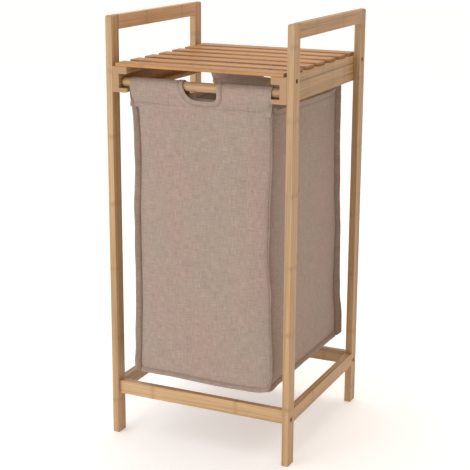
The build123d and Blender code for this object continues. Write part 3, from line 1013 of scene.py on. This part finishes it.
seed = 0
for node in sorted(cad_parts):
    axis = next((a for key, a in AXES.items() if node.startswith(key)), None)
    if axis is None:
        continue
    seed += 1
    slat = node.startswith("shelf_slat")
    knots = SLAT_KNOTS[int(node[-1]) - 1] if slat else KNOTS.get(node, ())
    glued = node.startswith(("shelf_bearer", "grooved_runner"))
    finish = bamboo(
        "bamboo_" + node, axis, seed, knots, JOINTS.get(node, ()), TONES.get(node, 0.0),
        SLAT_TINT if slat else NO_TINT, GLUE_Z if glued else None,
    )
    finish_node(node, finish)
finish_node("frame_screws", steel("screw_steel_finish"))

# ---------------------------------------------------------------- the bag, sewn together
cloth = linen("linen_cloth_finish")
band_cloth = linen("linen_facing_finish", 0.985)
sewing = thread("sewing_thread_finish")
front, front_surface, front_hole, front_flat = end_panel(-1, "bag_front_cloth", "bag_front_panel")
back, back_surface, back_hole, back_flat = end_panel(1, "bag_back_cloth", "bag_back_panel")
left, side_flat = side_panel(-1, "bag_left_cloth", "bag_side_left")
right, _ = side_panel(1, "bag_right_cloth", "bag_side_right")
base, base_flat = base_panel()
facings = {
    "front": hole_band(front_surface, front_hole, "facing_front"),
    "back": hole_band(back_surface, back_hole, "facing_back"),
}
stitches = {
    "front": end_stitches(-1, front_surface, front_hole),
    "back": end_stitches(1, back_surface, back_hole),
    "left": side_stitches(-1),
    "right": side_stitches(1),
}
for piece in (front, back, left, right, base, *facings.values(), *stitches.values()):
    finish = sewing if piece in stitches.values() else band_cloth if piece in facings.values() else cloth
    piece.data.materials.append(finish)
    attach(piece, "bag_carrier")

# ---------------------------------------------------------------- floor, light and camera
floor = new_object("floor", [(-9, -9, 0), (9, -9, 0), (9, 9, 0), (-9, 9, 0)], [(0, 1, 2, 3)])
floor.data.materials.append(floor_paint("floor_finish"))

# white all round, falling to a dim brown on the right
STUDIO_WHITE = (1.02, 1.02, 1.02, 1.0)
STUDIO_RIGHT = (0.46, 0.340, 0.252, 1.0)
world = bpy.data.worlds.new("studio")
world.use_nodes = True
background = world.node_tree.nodes["Background"]
direction = world.node_tree.nodes.new("ShaderNodeTexCoord").outputs["Generated"]
parts = world.node_tree.nodes.new("ShaderNodeSeparateXYZ")
world.node_tree.links.new(direction, parts.inputs[0])
fall = world.node_tree.nodes.new("ShaderNodeMapRange")
fall.interpolation_type = "SMOOTHSTEP"
for socket, value in ((1, -0.2), (2, 0.65), (3, 0.0), (4, 1.0)):
    fall.inputs[socket].default_value = value
world.node_tree.links.new(parts.outputs[0], fall.inputs[0])
sides = world.node_tree.nodes.new("ShaderNodeMix")
sides.data_type = "RGBA"
sides.inputs[6].default_value = STUDIO_WHITE
sides.inputs[7].default_value = STUDIO_RIGHT
world.node_tree.links.new(fall.outputs[0], sides.inputs[0])
world.node_tree.links.new(sides.outputs[2], background.inputs[0])
scene.world = world


def area_light(name, place, target, size, energy, colour):
    data = bpy.data.lights.new(name, "AREA")
    data.shape = "SQUARE"
    data.size = size
    data.energy = energy
    data.color = colour
    made = bpy.data.objects.new(name, data)
    made.location = place
    made.rotation_mode = "QUATERNION"
    made.rotation_quaternion = (Vector(target) - Vector(place)).to_track_quat("-Z", "Y")
    scene.collection.objects.link(made)
    return made


area_light("key", (-1.3, -3.1, 0.62), (0, 0, 0.4), 1.1, 24.0, (0.95, 0.98, 1.05))
area_light("overhead", (0.2, 0.9, 3.0), (0, 0, 0.4), 2.0, 22.0, (1.0, 0.88, 0.74))
inner = area_light("inner_fill", (0.03, -0.06, 0.545), (0.03, 0.08, 0.66), 0.10, 0.14, (1.0, 0.86, 0.72))
inner.visible_camera = False

CAMERA_PLACE = (0.87575, -1.90297, 0.91053)
AZIMUTH, ELEVATION, ROLL = math.radians(24.908), math.radians(14.159), math.radians(0.270)
toward = Vector(
    (math.sin(AZIMUTH) * math.cos(ELEVATION), -math.cos(AZIMUTH) * math.cos(ELEVATION), math.sin(ELEVATION))
)
level_right = Vector((0, 0, 1)).cross(toward).normalized()
level_up = toward.cross(level_right)
right_axis = level_right * math.cos(ROLL) + level_up * math.sin(ROLL)
up_axis = level_up * math.cos(ROLL) - level_right * math.sin(ROLL)
camera_data = bpy.data.cameras.new("camera")
camera_data.sensor_width = 36.0
camera_data.lens = 94.18
camera_data.shift_y = -0.05
camera_data.clip_end = 60.0
camera = bpy.data.objects.new("camera", camera_data)
scene.collection.objects.link(camera)
turn = Matrix((right_axis, up_axis, toward)).transposed().to_4x4()
camera.matrix_world = Matrix.Translation(CAMERA_PLACE) @ turn
scene.camera = camera
scene.view_settings.view_transform = "Standard"
